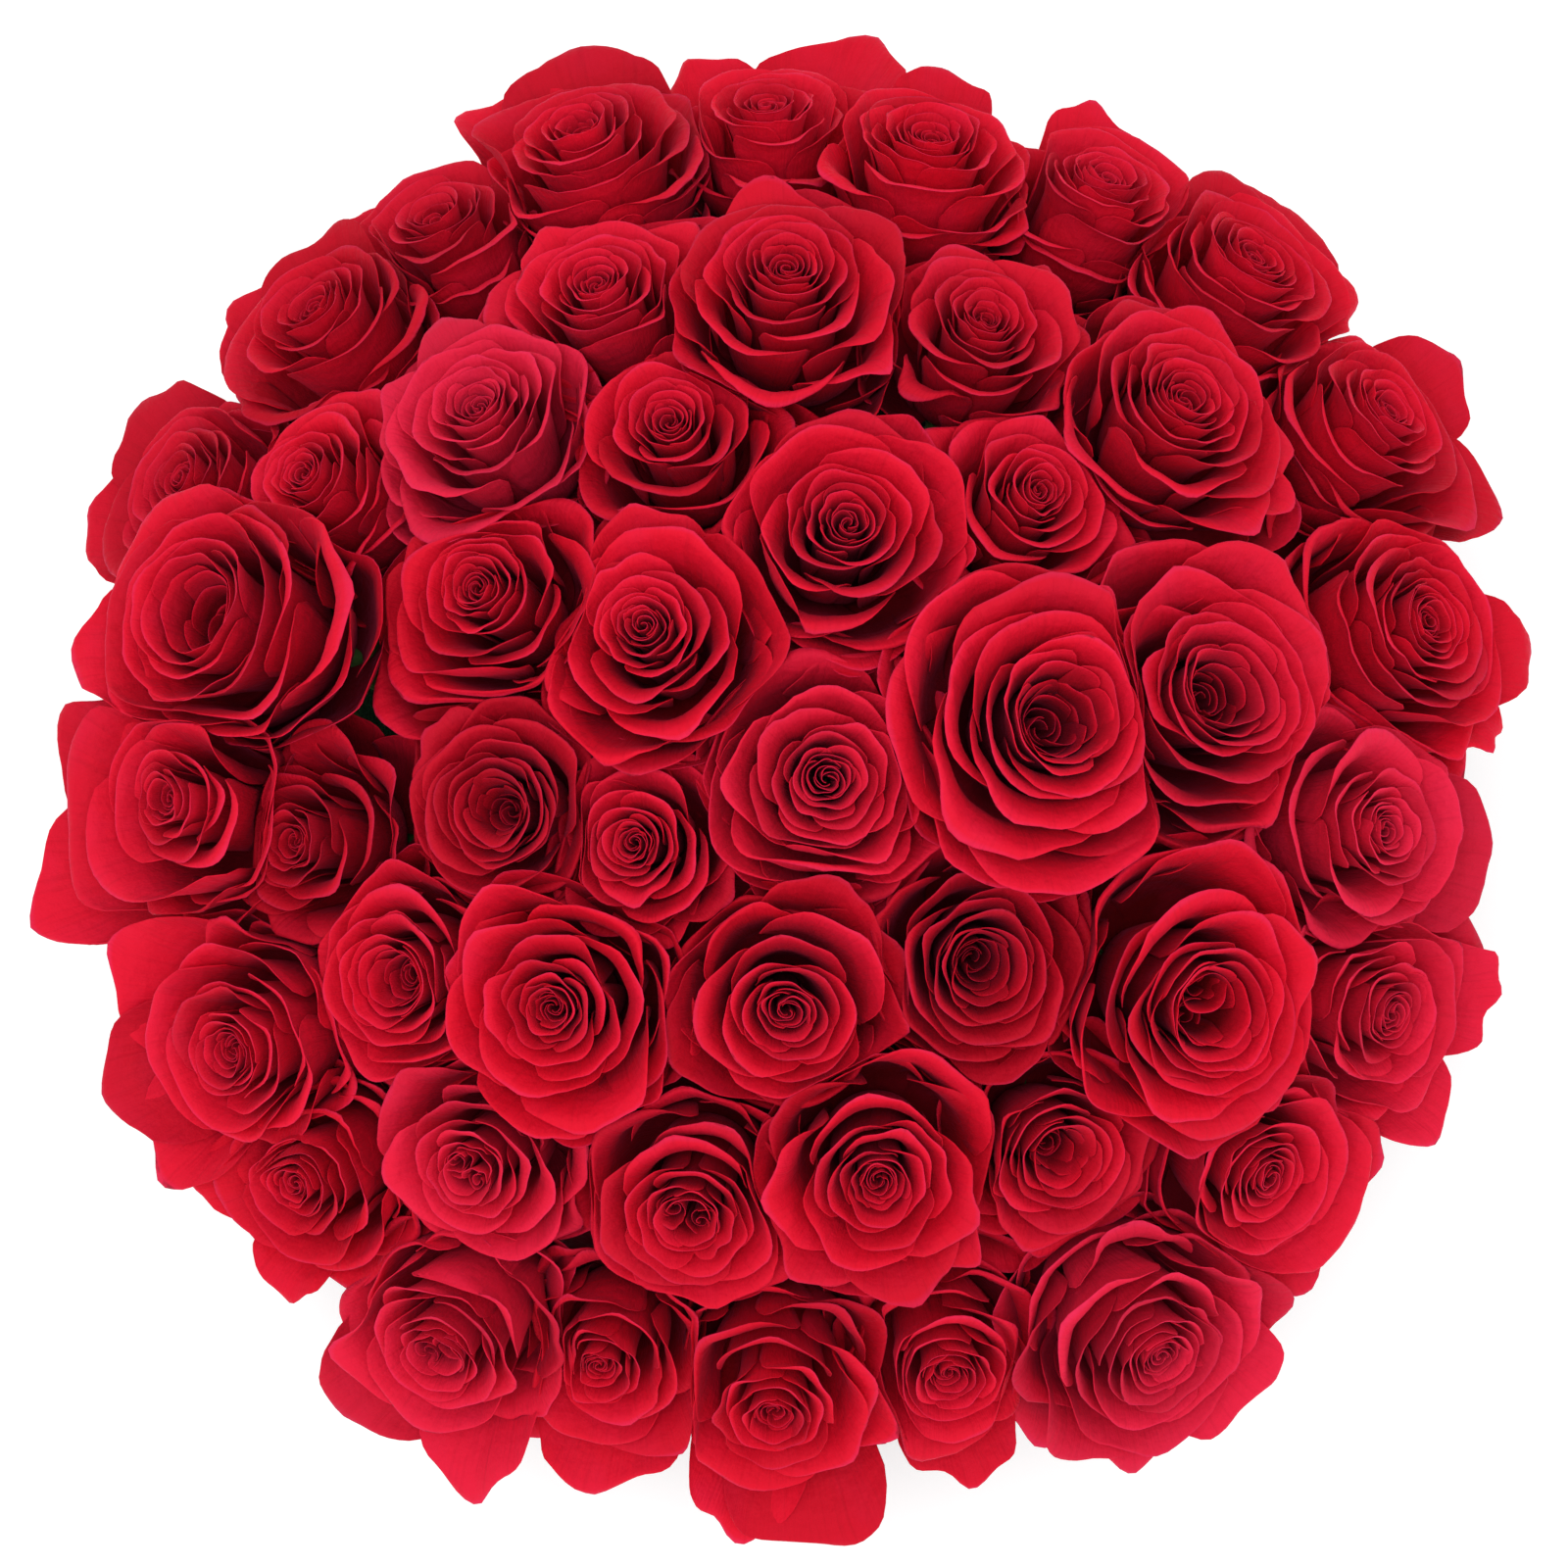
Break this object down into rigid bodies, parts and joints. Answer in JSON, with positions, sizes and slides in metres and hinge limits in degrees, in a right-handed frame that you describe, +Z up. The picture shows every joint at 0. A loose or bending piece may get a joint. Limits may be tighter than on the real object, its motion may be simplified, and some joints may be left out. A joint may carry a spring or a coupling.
{
  "type": "flower box",
  "caption": "Round covered board flower box with a lift-out liner, floral foam and a dense dome of red roses.",
  "frame": {"origin": "centre of the box's flat underside", "axes": "+Z up through the middle of the dome of roses; +X and +Y are across the box, and -Y is the side that a viewer stands on"},
  "size_m": [0.3793, 0.386, 0.2746],
  "materials": {
    "rose_petals": "velvety petal",
    "calyx_green": "matte",
    "stem_green": "satin",
    "floral_foam": "matte",
    "liner_plastic": "satin",
    "box_board": "matte",
    "wrap_paper": "matte",
    "lining_paper": "matte"
  },
  "bodies": {
    "box": {"box_wall": "box_board", "box_base": "box_board", "outer_wrap": "wrap_paper", "base_sheet": "wrap_paper", "inner_lining": "lining_paper"},
    "arrangement": {"liner_pot": "liner_plastic", "foam_brick_middle": "floral_foam", "foam_brick_front": "floral_foam", "foam_brick_back": "floral_foam", "foam_dome": "floral_foam", "rose_stems": "stem_green", "rose_calyxes": "calyx_green", "rose_01": "rose_petals", "rose_02": "rose_petals", "rose_03": "rose_petals", "rose_04": "rose_petals", "rose_05": "rose_petals", "rose_06": "rose_petals", "rose_07": "rose_petals", "rose_08": "rose_petals", "rose_09": "rose_petals", "rose_10": "rose_petals", "rose_11": "rose_petals", "rose_12": "rose_petals", "rose_13": "rose_petals", "rose_14": "rose_petals", "rose_15": "rose_petals", "rose_16": "rose_petals", "rose_17": "rose_petals", "rose_18": "rose_petals", "rose_19": "rose_petals", "rose_20": "rose_petals", "rose_21": "rose_petals", "rose_22": "rose_petals", "rose_23": "rose_petals", "rose_24": "rose_petals", "rose_25": "rose_petals", "rose_26": "rose_petals", "rose_27": "rose_petals", "rose_28": "rose_petals", "rose_29": "rose_petals", "rose_30": "rose_petals", "rose_31": "rose_petals", "rose_32": "rose_petals", "rose_33": "rose_petals", "rose_34": "rose_petals", "rose_35": "rose_petals", "rose_36": "rose_petals", "rose_37": "rose_petals", "rose_38": "rose_petals", "rose_39": "rose_petals", "rose_40": "rose_petals", "rose_41": "rose_petals", "rose_42": "rose_petals", "rose_43": "rose_petals", "rose_44": "rose_petals", "rose_45": "rose_petals", "rose_46": "rose_petals", "rose_47": "rose_petals", "rose_48": "rose_petals"}
  },
  "joints": [
    {"name": "arrangement_lift", "type": "slide", "parent": "box", "child": "arrangement", "axis": [0, 0, 1], "range_m": [0, 0.15]}
  ]
}
